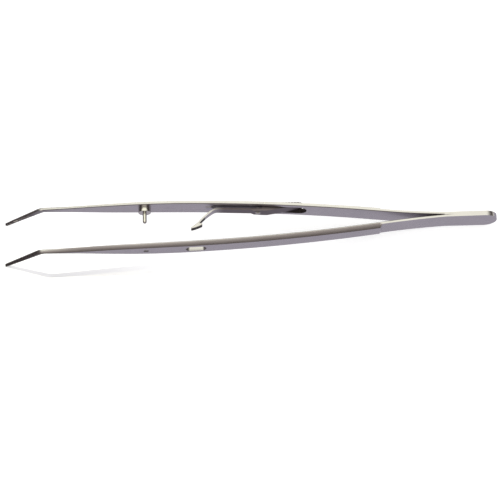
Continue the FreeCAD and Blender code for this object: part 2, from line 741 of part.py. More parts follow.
# Rivet: domed head under the lever, shank through lever and leaf, small flat tail above the leaf
head = "size.rivet_head_height"
base = "-size.lever_gap - size.body_thickness"
dome = f"(({head}) ^ 2 + size.rivet_head_radius ^ 2) / (2 * {head})"
tail = "-size.lever_gap + size.leaf_thickness"
spring_rivet = turned_body("spring_rivet", [
    ("0", f"{base} - {head}"),
    ("size.rivet_head_radius", base),
    ("size.rivet_radius", base),
    ("size.rivet_radius", tail),
    ("size.rivet_tail_radius", tail),
    ("size.rivet_tail_radius", f"{tail} + size.rivet_tail_height"),
    ("0", f"{tail} + size.rivet_tail_height"),
], {0: dome})

# Places: all goes to the resting pose, and what belongs to the lever goes through the lever frame first
rivet_place = lever_place.multiply(Placement(Vector(-size("rivet_place"), 0, 0), Rotation()))
places = [
    (lower_arm, rest),
    (upper_arm, rest),
    (guide_pin, rest.multiply(guide_place)),
    (pivot_pin, rest),
    (lock_lever, rest.multiply(lever_place)),
    (leaf_spring, rest.multiply(lever_place)),
    (spring_rivet, rest.multiply(rivet_place)),
]
for thing, place in places:
    thing.Label = thing.Name
    thing.Placement = place
doc.recompute()

for thing in doc.Objects:
    if "Invalid" in thing.State or "Error" in thing.State:
        raise RuntimeError(f"{thing.Name} is {thing.State}")
for thing, place in places:
    shape = thing.Shape
    if shape.isNull() or not shape.isValid() or len(shape.Solids) != 1:
        raise RuntimeError(f"{thing.Label} is not one valid solid")

os.makedirs("parts", exist_ok=True)
for thing, place in places:
    thing.Shape.exportStep(f"parts/{thing.Label}.step")
    print(thing.Label, round(thing.Shape.Volume, 3))

hinge_place = rest.multVec(weld_front)
pivot_place = rest.multVec(pivot_centre)
width_axis = rest_turn.multVec(Vector(0, 0, 1))
print("tilt", round(math.degrees(rest_tilt), 4), "close", round(math.degrees(close_angle), 4))
print("hinge", [round(value, 5) for value in hinge_place])
print("pivot", [round(value, 5) for value in pivot_place])
print("width axis", [round(value, 7) for value in width_axis])
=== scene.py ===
"""Self-locking dressing pliers in ground stainless steel, lying on a white table."""

import json
import math

import bmesh
import bpy
import numpy as np
from mathutils import Matrix, Vector

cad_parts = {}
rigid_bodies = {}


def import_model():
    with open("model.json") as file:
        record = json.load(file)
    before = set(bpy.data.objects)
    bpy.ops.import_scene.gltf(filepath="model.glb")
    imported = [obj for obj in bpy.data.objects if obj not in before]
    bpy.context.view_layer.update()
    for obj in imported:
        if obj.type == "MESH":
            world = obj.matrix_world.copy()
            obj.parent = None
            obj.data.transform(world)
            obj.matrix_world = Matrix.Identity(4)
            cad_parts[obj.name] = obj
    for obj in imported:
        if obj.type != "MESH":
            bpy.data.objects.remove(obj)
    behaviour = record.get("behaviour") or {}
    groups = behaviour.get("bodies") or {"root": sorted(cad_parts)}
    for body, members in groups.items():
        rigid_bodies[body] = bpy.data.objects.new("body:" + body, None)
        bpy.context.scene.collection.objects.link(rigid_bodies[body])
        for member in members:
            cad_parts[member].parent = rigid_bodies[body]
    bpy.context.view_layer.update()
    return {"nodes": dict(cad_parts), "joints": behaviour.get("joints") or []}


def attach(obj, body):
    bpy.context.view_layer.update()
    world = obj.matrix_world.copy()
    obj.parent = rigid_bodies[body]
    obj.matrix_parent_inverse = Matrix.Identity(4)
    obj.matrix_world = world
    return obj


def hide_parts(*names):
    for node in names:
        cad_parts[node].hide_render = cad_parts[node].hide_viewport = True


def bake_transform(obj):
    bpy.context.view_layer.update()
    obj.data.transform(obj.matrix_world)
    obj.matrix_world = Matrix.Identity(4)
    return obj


bl_info = {
    "name": "Dressing Pliers",
    "version": (1, 0, 0),
    "blender": (4, 5, 0),
    "location": "View3D > Sidebar > Pliers",
    "description": "Dresses the packed dressing pliers with ground steel finishes and sets the stage",
    "category": "Object",
}

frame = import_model()
MM = 0.001
JOINTS = {joint["name"]: joint for joint in frame["joints"]}
LOWER = JOINTS["squeeze"]["parent"]
UPPER = JOINTS["squeeze"]["child"]
LEVER = JOINTS["lock"]["child"]

# The point that the upper arm turns about, and the one that the lock lever turns about
HINGE = Vector(JOINTS["squeeze"]["pos_m"])
PIVOT = Vector(JOINTS["lock"]["pos_m"])

# The arms' own directions: up across their width, from the lower arm to the upper, and from tips to heel
WIDTH_AXIS = Vector(JOINTS["squeeze"]["axis"]).normalized()
SIDES = Vector((0, 1, 0))
TOOL_AXIS = SIDES.cross(WIDTH_AXIS).normalized()


class PliersFinish(bpy.types.PropertyGroup):
    """Colours and surface sizes of the steel"""

    arm_colour: bpy.props.StringProperty(
        name="Arm steel", description="sRGB hex colour of the ground stainless arms", default="B3AFB2")
    # The window's walls are painted dark grey-brown, as painted shade inside the window
    wall_colour: bpy.props.StringProperty(
        name="Milled walls", description="sRGB hex colour of the unpolished walls of the window",
        default="4A4244")
    pin_colour: bpy.props.StringProperty(
        name="Pin steel", description="sRGB hex colour of the turned pins", default="BFBBB8")
    # The lever's colour is its steel painted darker, as painted shade for the dark surroundings that the
    # lever mirrors
    lever_colour: bpy.props.StringProperty(
        name="Lever steel", description="sRGB hex colour of the hardened lever", default="625A5E")
    hook_colour: bpy.props.StringProperty(
        name="Hook steel", description="sRGB hex colour of the lever's polished hook", default="B3AFB2")
    # The hook's sole is painted nearly black, as painted shade on its underside
    sole_colour: bpy.props.StringProperty(
        name="Hook sole", description="sRGB hex colour of the hook's dark sole", default="3A3634")
    leaf_colour: bpy.props.StringProperty(
        name="Leaf spring steel", description="sRGB hex colour of the rolled spring strip", default="A5A2AA")
    # Between these two reaches the lever's painted shade fades out into the hook's bright steel colour
    skin_end: bpy.props.FloatProperty(
        name="Skin end", description="Where the lever's dark skin begins to give way to bright grinding, in "
        "millimetres towards the tips from the pivot", default=12.5)
    bright_start: bpy.props.FloatProperty(
        name="Bright start", description="Where the lever is wholly ground bright, in millimetres towards "
        "the tips from the pivot", default=17.5)
    edge_round: bpy.props.FloatProperty(
        name="Edge rounding", description="Radius broken on every ground edge, in millimetres",
        default=0.06, min=0.01, max=0.2)
    arris: bpy.props.FloatProperty(
        name="Arris", description="Width ground off the arms' inner long edges, in millimetres",
        default=0.17, min=0.0, max=0.25)
    facet_crown: bpy.props.FloatProperty(
        name="Facet crown", description="How far the ground bevels curve away towards their outer edge, in "
        "millimetres", default=0.26, min=0.0, max=0.6)
    line_spacing: bpy.props.FloatProperty(
        name="Grinding lines", description="Spacing of the grinding lines across the arms, in millimetres",
        default=0.35, min=0.05, max=1.0)
    line_length: bpy.props.FloatProperty(
        name="Line length", description="Length of one grinding line along the arms, in millimetres",
        default=14.0, min=1.0, max=40.0)


class PliersStage(bpy.types.PropertyGroup):
    """Camera, table and light"""

    azimuth: bpy.props.FloatProperty(name="Azimuth", description="Camera azimuth in degrees", default=2.491)
    elevation: bpy.props.FloatProperty(
        name="Elevation", description="Camera elevation in degrees", default=68.407)
    roll: bpy.props.FloatProperty(name="Roll", description="Camera roll in degrees", default=-5.007)
    distance: bpy.props.FloatProperty(
        name="Distance", description="Camera distance from its aim", default=0.7, unit="LENGTH")
    lens: bpy.props.FloatProperty(name="Lens", description="Focal length in millimetres", default=160.285)
    aim_across: bpy.props.FloatProperty(
        name="Aim across", description="Aim offset to the right, in millimetres", default=0.132)
    aim_up: bpy.props.FloatProperty(
        name="Aim up", description="Aim offset upwards in the picture, in millimetres", default=-7.371)
    aim_height: bpy.props.FloatProperty(
        name="Aim height", description="Height of the aim before its offsets, in millimetres", default=6.0)
    floor_colour: bpy.props.StringProperty(
        name="Table", description="sRGB hex colour of the table as the camera sees it", default="ECECEC")
    table_glow: bpy.props.FloatProperty(
        name="Table glow", description="Light of the table itself, where 1 is white", default=0.45)
    gloss: bpy.props.FloatProperty(
        name="Table gloss", description="Share of mirror reflection in the middle of the polished oval",
        default=0.42)
    gloss_centre: bpy.props.FloatVectorProperty(
        name="Gloss centre", description="Centre of the polished oval, in millimetres", size=2,
        default=(-62.0, -20.0))
    gloss_reach: bpy.props.FloatVectorProperty(
        name="Gloss reach", description="Half lengths of the polished oval, in millimetres", size=2,
        default=(52.0, 24.0))
    table_colour: bpy.props.StringProperty(
        name="Mirrored table", description="sRGB hex colour of the table as the steel mirrors it",
        default="CCC8D3")
    back_colour: bpy.props.StringProperty(
        name="Mirrored table behind", description="sRGB hex colour of the mirrored table behind the pliers",
        default="FDFFEC")
    left_colour: bpy.props.StringProperty(
        name="Mirrored table beyond the tips", description="sRGB hex colour of the mirrored table left of "
        "the tips", default="4A4442")
    room_strength: bpy.props.FloatProperty(
        name="Room light", description="Strength of the room's light", default=1.9)
    end_colour: bpy.props.StringProperty(
        name="Room ends", description="sRGB hex colour of the dark room beyond both ends of the pliers",
        default="3C3432")


# Colours and nodes


WHITE = "FFFFFF"

# A Mix node has sockets for several kinds of value: these are its factor, two colours and mixed colour
MIX_FACTOR = 0
MIX_FIRST = 6
MIX_SECOND = 7
MIX_RESULT = 2


def linear(code):
    """The linear colour of an sRGB hex code: each channel c becomes c / 12.92 below 0.04045, and
    ((c + 0.055) / 1.055) ** 2.4 above."""
    channels = [int(code[i:i + 2], 16) / 255 for i in (0, 2, 4)]
    return [c / 12.92 if c <= 0.04045 else ((c + 0.055) / 1.055) ** 2.4 for c in channels] + [1.0]


def shaded(colour, share):
    """A linear colour with each channel times a share, and at most 1."""
    return [min(1.0, channel * share) for channel in colour[:3]] + [1.0]


def add_node(tree, kind, settings=None, inputs=None):
    """Adds a node, sets its properties, and gives each input a value or a link from another node's output."""
    node = tree.nodes.new(kind)
    for key, value in (settings or {}).items():
        setattr(node, key, value)
    for key, value in (inputs or {}).items():
        if isinstance(value, bpy.types.NodeSocket):
            tree.links.new(value, node.inputs[key])
        else:
            node.inputs[key].default_value = value
    return node


def new_material(name):
    """An empty node material, its tree, and the Object coordinates in that tree."""
    material = bpy.data.materials.new(name)
    material.use_nodes = True
    tree = material.node_tree
    tree.nodes.clear()
    return material, tree, add_node(tree, "ShaderNodeTexCoord").outputs["Object"]


def end_metal(tree, pattern, smooth, rough, inputs):
    """Ends a metal's tree in its shader, whose roughness goes from smooth to rough with a pattern."""
    roughness = add_node(tree, "ShaderNodeMapRange", inputs={
        "Value": pattern, "To Min": smooth, "To Max": rough})
    shader = add_node(tree, "ShaderNodeBsdfPrincipled", inputs={
        "Metallic": 1.0, "Roughness": roughness.outputs["Result"], **inputs})
    add_node(tree, "ShaderNodeOutputMaterial", inputs={"Surface": shader.outputs["BSDF"]})


# Materials


def window_wall_shade(finish):
    """Walls of the milled window, painted dark grey-brown as painted shade inside the narrow window, with
    cutter marks.
    """
    material, tree, place = new_material("window_wall_shade")
    mark_width = 0.4 * MM
    marks = add_node(tree, "ShaderNodeTexNoise", inputs={
        "Vector": place, "Scale": 1 / mark_width, "Detail": 2.0})
    # Painted shade: the walls' dark grey-brown colour
    end_metal(tree, marks.outputs["Fac"], smooth=0.45, rough=0.6, inputs={
        "Base Color": linear(finish.wall_colour)})
    return material


def ground_stainless(finish):
    """Stainless steel, belt-ground lengthwise and lightly polished: satin faces with fine lines along the
    arm, which stretch reflections across the lines, and faint uneven polish. Real grit lines lie a few
    hundredths of a millimetre apart, too fine to show, so they are drawn coarser. A ground bevel curves away
    with the square of its facet_height."""
    material, tree, place = new_material("ground_stainless")
    along = 1 / (finish.line_length * MM)
    across = 1 / (finish.line_spacing * MM)
    line_depth = 0.004 * MM
    cloud_width = 6 * MM
    stretch = add_node(tree, "ShaderNodeMapping", inputs={"Vector": place, "Scale": (along, across, across)})
    lines = add_node(tree, "ShaderNodeTexNoise", inputs={
        "Vector": stretch.outputs["Vector"], "Scale": 1.0, "Detail": 3.0, "Roughness": 0.6})
    cloud = add_node(tree, "ShaderNodeTexNoise", inputs={
        "Vector": place, "Scale": 1 / cloud_width, "Detail": 2.0})
    base = linear(finish.arm_colour)
    shade = add_node(tree, "ShaderNodeMix", {"data_type": "RGBA", "blend_type": "MIX"}, {
        MIX_FACTOR: cloud.outputs["Fac"], MIX_FIRST: shaded(base, 0.93), MIX_SECOND: shaded(base, 1.05)})
    facet = add_node(tree, "ShaderNodeAttribute", {"attribute_name": "facet_height"})
    square = add_node(tree, "ShaderNodeMath", {"operation": "POWER"}, {0: facet.outputs["Fac"], 1: 2.0})
    crown = add_node(tree, "ShaderNodeBump", {"invert": True}, {
        "Height": square.outputs[0], "Strength": 1.0, "Distance": finish.facet_crown * MM})
    bump = add_node(tree, "ShaderNodeBump", inputs={
        "Height": lines.outputs["Fac"], "Strength": 0.25, "Distance": line_depth,
        "Normal": crown.outputs["Normal"]})
    end_metal(tree, lines.outputs["Fac"], smooth=0.2, rough=0.36, inputs={
        "Base Color": shade.outputs[MIX_RESULT], "Normal": bump.outputs["Normal"]})
    return material


def turned_stainless(finish):
    """Stainless steel turned on a lathe: bright, with fine rings from the cutter's feed round the pins that
    stand from side to side."""
    material, tree, place = new_material("turned_stainless")
    feed = 0.12 * MM
    ring_depth = 0.004 * MM
    axes = add_node(tree, "ShaderNodeSeparateXYZ", inputs={"Vector": place})
    rings = add_node(tree, "ShaderNodeTexNoise", {"noise_dimensions": "1D"}, {
        "W": axes.outputs["Y"], "Scale": 1 / feed, "Detail": 2.0})
    bump = add_node(tree, "ShaderNodeBump", inputs={
        "Height": rings.outputs["Fac"], "Strength": 0.3, "Distance": ring_depth})
    end_metal(tree, rings.outputs["Fac"], smooth=0.16, rough=0.3, inputs={
        "Base Color": linear(finish.pin_colour), "Normal": bump.outputs["Normal"]})
    return material


def shaded_lever_steel(finish):
    """Stainless strip of the lock lever, painted darker than the arms as painted shade for the dark
    surroundings that it mirrors, with fine mottling and a soft sheen. The painted shade fades towards the
    tips, where the neck and hook have the bright steel colour."""
    material, tree, place = new_material("shaded_lever_steel")
    mottle_width = 0.5 * MM
    mottle_depth = 0.006 * MM
    grain = add_node(tree, "ShaderNodeTexNoise", inputs={
        "Vector": place, "Scale": 1 / mottle_width, "Detail": 4.0})
    # Painted shade: the lever's colour, darker than its steel
    base = linear(finish.lever_colour)
    shade = add_node(tree, "ShaderNodeMix", {"data_type": "RGBA", "blend_type": "MIX"}, {
        MIX_FACTOR: grain.outputs["Fac"], MIX_FIRST: shaded(base, 0.85), MIX_SECOND: shaded(base, 1.15)})
    axes = add_node(tree, "ShaderNodeSeparateXYZ", inputs={"Vector": place})
    # The painted shade gives way to the hook's steel colour towards the tips
    shading = add_node(tree, "ShaderNodeMapRange", {"interpolation_type": "SMOOTHSTEP"}, {
        "Value": axes.outputs["X"], "From Min": PIVOT.x - finish.bright_start * MM,
        "From Max": PIVOT.x - finish.skin_end * MM})
    colour = add_node(tree, "ShaderNodeMix", {"data_type": "RGBA"}, {
        MIX_FACTOR: shading.outputs["Result"], MIX_FIRST: linear(finish.hook_colour),
        MIX_SECOND: shade.outputs[MIX_RESULT]})
    bump = add_node(tree, "ShaderNodeBump", inputs={
        "Height": grain.outputs["Fac"], "Strength": 0.2, "Distance": mottle_depth})
    end_metal(tree, grain.outputs["Fac"], smooth=0.26, rough=0.44, inputs={
        "Base Color": colour.outputs[MIX_RESULT], "Normal": bump.outputs["Normal"]})
    return material


def shaded_sole(finish):
    """The hook's sole, painted nearly black and matt as painted shade on its underside, with mottled
    roughness.
    """
    material, tree, place = new_material("shaded_sole")
    fleck_width = 0.3 * MM
    flecks = add_node(tree, "ShaderNodeTexNoise", inputs={
        "Vector": place, "Scale": 1 / fleck_width, "Detail": 2.0})
    # Painted shade: the sole's nearly black colour
    end_metal(tree, flecks.outputs["Fac"], smooth=0.4, rough=0.55, inputs={
        "Base Color": linear(finish.sole_colour)})
    return material


def rolled_strip(finish):
    """Cold-rolled spring steel strip: blue-grey, smooth, with faint lines along the rolling direction,
    drawn coarser than real ones so that they show."""
    material, tree, place = new_material("rolled_strip")
    along = 1 / (8 * MM)
    across = 1 / (0.3 * MM)
    stretch = add_node(tree, "ShaderNodeMapping", inputs={"Vector": place, "Scale": (along, across, across)})
    lines = add_node(tree, "ShaderNodeTexNoise", inputs={"Vector": stretch.outputs["Vector"], "Scale": 1.0})
    end_metal(tree, lines.outputs["Fac"], smooth=0.24, rough=0.38, inputs={
        "Base Color": linear(finish.leaf_colour)})
    return material


def steel(make):
    """The material that a function makes, made once and shared."""
    return bpy.data.materials.get(make.__name__) or make(bpy.context.scene.pliers_finish)


# Shaping


# Corners closer than this are one, faces that turn by less are one flat face, and edges that turn by more
# are sharp
MERGE_DISTANCE = 0.0005 * MM
FLAT_ANGLE = math.radians(0.2)
SHARP_ANGLE = math.radians(25)

# How squarely a face's normal points along a direction, as the cosine of the angle between them: at least
# this much where the face is square to the direction, faces it or leans towards it, and at most this much
# where the face is a wall along it
SQUARE = 0.95
FACING = 0.6
LEANING = 0.3
WALL = 0.5


def station(reach):
    """The point that lies a number of millimetres from the hinge towards the tips."""
    return HINGE - TOOL_AXIS * (reach * MM)


def bending_cuts(start, end, count):
    """Planes square across the arms, evenly spaced between two reaches, that let a mesh bend there."""
    return [(station(float(reach)), TOOL_AXIS) for reach in np.linspace(start, end, count)]


def finished_copy(node, cuts):
    """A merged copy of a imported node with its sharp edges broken: doubles are merged, flat faces are
    dissolved into one, planes given as (point, normal) in cuts add edge loops for bending, and a Bevel of
    two segments rounds each sharp edge. Normals are weighted by area, so that the large faces shade flat
    beside their rounded edges."""
    mesh = frame["nodes"][node].data.copy()
    mesh.name = node + "_finished"
    work = bmesh.new()
    work.from_mesh(mesh)
    bmesh.ops.remove_doubles(work, verts=work.verts, dist=MERGE_DISTANCE)
    bmesh.ops.dissolve_limit(work, angle_limit=FLAT_ANGLE, verts=work.verts, edges=work.edges)
    for point, normal in cuts:
        everything = work.verts[:] + work.edges[:] + work.faces[:]
        bmesh.ops.bisect_plane(work, geom=everything, plane_co=point, plane_no=normal, dist=MERGE_DISTANCE)
    bmesh.ops.recalc_face_normals(work, faces=work.faces)
    work.to_mesh(mesh)
    work.free()
    mesh.shade_smooth()
    mesh.set_sharp_from_angle(angle=SHARP_ANGLE)
    piece = bpy.data.objects.new(node + "_finished", mesh)
    bpy.context.scene.collection.objects.link(piece)
    bevel = piece.modifiers.new("broken_edges", "BEVEL")
    bevel.width = bpy.context.scene.pliers_finish.edge_round * MM
    bevel.segments = 2
    bevel.limit_method = "ANGLE"
    bevel.angle_limit = SHARP_ANGLE
    normals = piece.modifiers.new("flat_faces_stay_flat", "WEIGHTED_NORMAL")
    normals.keep_sharp = True
    return piece


def finish_node(node, body, make, cuts=()):
    """Makes the finished copy of a node, gives it its material and sets it in the node's place, on a body
    unless it is blended between two."""
    piece = finished_copy(node, cuts)
    piece.data.materials.clear()
    piece.data.materials.append(steel(make))
    if body:
        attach(piece, body)
    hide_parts(node)
    return piece


def chamfer_arrises(piece, inward):
    """Adds a wider Bevel for the long edges between an arm's inner face and its lands in front of the weld,
    ground off at 45 degrees. The lands' normals point away from the arm's middle plane, which leaves out the
    window's walls, and inward is the inner face's direction along SIDES."""
    work = bmesh.new()
    work.from_mesh(piece.data)
    weight = work.edges.layers.float.new("bevel_weight_edge")
    for edge in work.edges:
        middle = (edge.verts[0].co + edge.verts[1].co) / 2 - HINGE
        outward = math.copysign(1, middle.dot(WIDTH_AXIS))
        on_land = any(face.normal.dot(WIDTH_AXIS) * outward > SQUARE for face in edge.link_faces)
        on_inner_face = any(face.normal.dot(SIDES) * inward > SQUARE for face in edge.link_faces)
        if on_land and on_inner_face and middle.dot(TOOL_AXIS) < 0:
            edge[weight] = 1.0
    work.to_mesh(piece.data)
    work.free()
    chamfer = piece.modifiers.new("ground_arrises", "BEVEL")
    chamfer.width = bpy.context.scene.pliers_finish.arris * MM
    chamfer.segments = 1
    chamfer.limit_method = "WEIGHT"
    chamfer.use_clamp_overlap = False
    piece.modifiers.move(len(piece.modifiers) - 1, 0)


def read_values(items, key, width=1, kind=float):
    """One value of every item in a mesh's collection as an array, with a row of the given width for each."""
    values = np.empty(len(items) * width, dtype=kind)
    items.foreach_get(key, values)
    return values.reshape(-1, width) if width > 1 else values


def mark_facets(piece):
    """Stores facet_height on the corners of the ground bevels: 1 on a bevel's edge away from the arm's
    middle plane and 0 on the other, and 0 on every other face. A bevel is a face that leans both across the
    arm's width and through its thickness."""
    mesh = piece.data
    normals = read_values(mesh.polygons, "normal", 3)
    starts = read_values(mesh.polygons, "loop_start", kind=np.int32)
    sizes = read_values(mesh.polygons, "loop_total", kind=np.int32)
    places = read_values(mesh.vertices, "co", 3)
    corners = read_values(mesh.loops, "vertex_index", kind=np.int32)
    across = normals @ np.array(WIDTH_AXIS)
    through = normals @ np.array(SIDES)
    height = (places[corners] - np.array(HINGE)) @ np.array(WIDTH_AXIS)
    height *= np.repeat(np.sign(across), sizes)
    middle = (np.maximum.reduceat(height, starts) + np.minimum.reduceat(height, starts)) / 2
    is_facet = np.repeat((np.abs(across) > LEANING) & (np.abs(through) > LEANING), sizes)
    value = np.where(is_facet & (height > np.repeat(middle, sizes)), 1.0, 0.0)
    layer = mesh.attributes.new("facet_height", "FLOAT", "CORNER")
    layer.data.foreach_set("value", value.astype(np.float32))


def paint_faces(piece, make, chosen):
    """Gives the faces that a test chooses a second material."""
    piece.data.materials.append(steel(make))
    for face in piece.data.polygons:
        if chosen(face):
            face.material_index = 1


# Pieces


class PLIERS_OT_lower_arm(bpy.types.Operator):
    """Lower arm with the slot for the hook and the hole for the guide pin"""

    bl_idname = "pliers.lower_arm"
    bl_label = "Lower arm"

    def execute(self, context):
        piece = finish_node("lower_arm", LOWER, ground_stainless)
        mark_facets(piece)
        chamfer_arrises(piece, 1)
        return {"FINISHED"}


class PLIERS_OT_upper_arm(bpy.types.Operator):
    """Upper arm, whose heel stays on the weld while its strip bends in front of it"""

    bl_idname = "pliers.upper_arm"
    bl_label = "Upper arm"

    flex_start: bpy.props.FloatProperty(
        name="Flex start", description="Where the strip begins to bend, in millimetres towards the tips from "
        "the hinge", default=-2.0)
    flex_end: bpy.props.FloatProperty(
        name="Flex end", description="Where the strip has its full turn, in millimetres towards the tips "
        "from the hinge", default=19.0)
    flex_cuts: bpy.props.IntProperty(name="Flex cuts", description="Edge loops across the bend", default=22)
    window_rear: bpy.props.FloatProperty(
        name="Window rear", description="Rear end of the window, in millimetres towards the tips from the "
        "hinge", default=43.5)
    window_front: bpy.props.FloatProperty(
        name="Window front", description="Front end of the window, in millimetres towards the tips from the "
        "hinge", default=73.8)
    window_half: bpy.props.FloatProperty(
        name="Window half width", description="Half the width that holds the window, in millimetres",
        default=2.35)

    def execute(self, context):
        cuts = bending_cuts(self.flex_start, self.flex_end, self.flex_cuts)
        piece = finish_node("upper_arm", None, ground_stainless, cuts)
        mark_facets(piece)
        chamfer_arrises(piece, -1)
        # The window's walls get the dark material of painted shade
        paint_faces(piece, window_wall_shade, self.is_window_wall)
        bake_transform(piece)
        return {"FINISHED"}

    def is_window_wall(self, face):
        """A face inside the window's box, seen from the side, that runs through the arm's thickness."""
        offset = face.center - station((self.window_rear + self.window_front) / 2)
        half_length = (self.window_front - self.window_rear) / 2
        within_length = abs(offset.dot(TOOL_AXIS)) < half_length * MM
        within_width = abs(offset.dot(WIDTH_AXIS)) < self.window_half * MM
        return within_length and within_width and abs(face.normal.dot(SIDES)) < WALL


class PLIERS_OT_pins(bpy.types.Operator):
    """Guide pin, pivot pin and the rivet of the leaf spring"""

    bl_idname = "pliers.pins"
    bl_label = "Pins and rivet"

    def execute(self, context):
        for node, body in (("guide_pin", UPPER), ("pivot_pin", UPPER), ("spring_rivet", LEVER)):
            finish_node(node, body, turned_stainless)
        return {"FINISHED"}


class PLIERS_OT_lever(bpy.types.Operator):
    """Lock lever with its thumb pad, neck and hook, whose sole is painted dark as shade"""

    bl_idname = "pliers.lever"
    bl_label = "Lock lever"

    hook_reach: bpy.props.FloatProperty(
        name="Hook reach", description="How far past the pivot the hook's foot starts, in millimetres "
        "towards the tips", default=19.0)

    def execute(self, context):
        piece = finish_node("lock_lever", LEVER, shaded_lever_steel)
        # The hook's sole gets the nearly black material of painted shade
        paint_faces(piece, shaded_sole, self.is_sole)
        return {"FINISHED"}

    def is_sole(self, face):
        """A face of the hook's foot that is turned towards the lower arm."""
        past = (PIVOT - face.center).dot(TOOL_AXIS)
        return past > self.hook_reach * MM and face.normal.dot(SIDES) < -FACING


class PLIERS_OT_leaf_spring(bpy.types.Operator):
    """Leaf spring, riveted to the lever, whose foot stays on the upper arm's inner face"""

    bl_idname = "pliers.leaf_spring"
    bl_label = "Leaf spring"

    foot: bpy.props.FloatProperty(
        name="Foot", description="Where the leaf meets the arm, in millimetres towards the tips from the "
        "hinge", default=73.8)
    rise: bpy.props.FloatProperty(
        name="Rise", description="Where the leaf leaves the lever, in millimetres towards the tips from the "
        "hinge", default=67.7)
    flex_cuts: bpy.props.IntProperty(name="Flex cuts", description="Edge loops across the leaf", default=8)

    def execute(self, context):
        cuts = bending_cuts(self.rise, self.foot, self.flex_cuts)
        piece = finish_node("leaf_spring", None, rolled_strip, cuts)
        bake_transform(piece)
        return {"FINISHED"}


# Stage


# Where the mirrored table turns from its own colour to the cream behind the pliers, and to the dark beyond
# their tips, in millimetres
CREAM_FROM = 10
CREAM_FULL = 30
DARK_FROM = -58
DARK_FULL = -76

# Share of the polished oval's radius where its gloss begins to fade, down to none at its rim
GLOSS_FADE = 0.3

# Colour of the room by height: from the front horizon (0) over the zenith (0.5) to the back horizon (1)
ROOM_BANDS = (
    (0.0, "3A3332"),
    (0.08, "463F3D"),
    (0.16, "5C554F"),
    (0.30, "ABA49B"),
    (0.45, "FDFFEC"),
    (1.0, "FDFFEC"),
)

# Share of a direction that points along the pliers where the room's dark ends begin, and where they are full
ENDS_FROM = 0.45
ENDS_FULL = 0.85


def mirrored_table(tree, place, stage):
    """The table as the steel mirrors it, as plain light: grey-violet in front of the pliers and under them,
    dark beyond the tips, and cream behind, where it is as bright as the room."""
    axes = add_node(tree, "ShaderNodeSeparateXYZ", inputs={"Vector": place})
    behind = add_node(tree, "ShaderNodeMapRange", inputs={
        "Value": axes.outputs["Y"], "From Min": CREAM_FROM * MM, "From Max": CREAM_FULL * MM})
    left = add_node(tree, "ShaderNodeMapRange", {"interpolation_type": "SMOOTHSTEP"}, {
        "Value": axes.outputs["X"], "From Min": DARK_FROM * MM, "From Max": DARK_FULL * MM})
    near = add_node(tree, "ShaderNodeMix", {"data_type": "RGBA"}, {
        MIX_FACTOR: behind.outputs["Result"], MIX_FIRST: linear(stage.table_colour),
        MIX_SECOND: linear(stage.back_colour)})
    shade = add_node(tree, "ShaderNodeMix", {"data_type": "RGBA"}, {
        MIX_FACTOR: left.outputs["Result"], MIX_FIRST: near.outputs[MIX_RESULT],
        MIX_SECOND: linear(stage.left_colour)})
    strength = add_node(tree, "ShaderNodeMapRange", inputs={
        "Value": behind.outputs["Result"], "To Min": 1.0, "To Max": stage.room_strength})
    light = add_node(tree, "ShaderNodeEmission", inputs={
        "Color": shade.outputs[MIX_RESULT], "Strength": strength.outputs["Result"]})
    return light.outputs["Emission"]


def seen_table(tree, place, stage):
    """The table as the camera sees it: white, with one polished oval in front of the lower arm's tip whose
    gloss fades towards its rim."""
    lit = add_node(tree, "ShaderNodeBsdfDiffuse", inputs={"Color": linear(stage.floor_colour)})
    glow = add_node(tree, "ShaderNodeEmission", inputs={"Color": linear(WHITE), "Strength": stage.table_glow})
    white = add_node(tree, "ShaderNodeAddShader", inputs={
        0: lit.outputs["BSDF"], 1: glow.outputs["Emission"]})
    gloss = add_node(tree, "ShaderNodeBsdfGlossy", inputs={"Color": linear(WHITE), "Roughness": 0.03})
    centre = Vector(stage.gloss_centre) * MM
    reach = Vector(stage.gloss_reach) * MM
    oval = add_node(tree, "ShaderNodeMapping", inputs={
        "Vector": place, "Scale": (1 / reach.x, 1 / reach.y, 0),
        "Location": (-centre.x / reach.x, -centre.y / reach.y, 0)})
    outwards = add_node(tree, "ShaderNodeVectorMath", {"operation": "LENGTH"}, {0: oval.outputs["Vector"]})
    fade = add_node(tree, "ShaderNodeMapRange", {"interpolation_type": "SMOOTHSTEP"}, {
        "Value": outwards.outputs["Value"], "From Min": GLOSS_FADE, "From Max": 1.0, "To Min": stage.gloss,
        "To Max": 0.0})
    polished = add_node(tree, "ShaderNodeMixShader", inputs={
        0: fade.outputs["Result"], 1: white.outputs["Shader"], 2: gloss.outputs["BSDF"]})
    return polished.outputs["Shader"]


def make_table(stage):
    """A large flat square at z = 0, with one look for the camera and another for the steel."""
    half_side = 3.0
    corners = [(-half_side, -half_side, 0), (half_side, -half_side, 0), (half_side, half_side, 0),
               (-half_side, half_side, 0)]
    mesh = bpy.data.meshes.new("table")
    mesh.from_pydata(corners, [], [(0, 1, 2, 3)])
    table = bpy.data.objects.new("table", mesh)
    bpy.context.scene.collection.objects.link(table)
    material, tree, place = new_material("pale_table")
    path = add_node(tree, "ShaderNodeLightPath")
    surface = add_node(tree, "ShaderNodeMixShader", inputs={
        0: path.outputs["Is Camera Ray"], 1: mirrored_table(tree, place, stage),
        2: seen_table(tree, place, stage)})
    add_node(tree, "ShaderNodeOutputMaterial", inputs={"Surface": surface.outputs["Shader"]})
    mesh.materials.append(material)


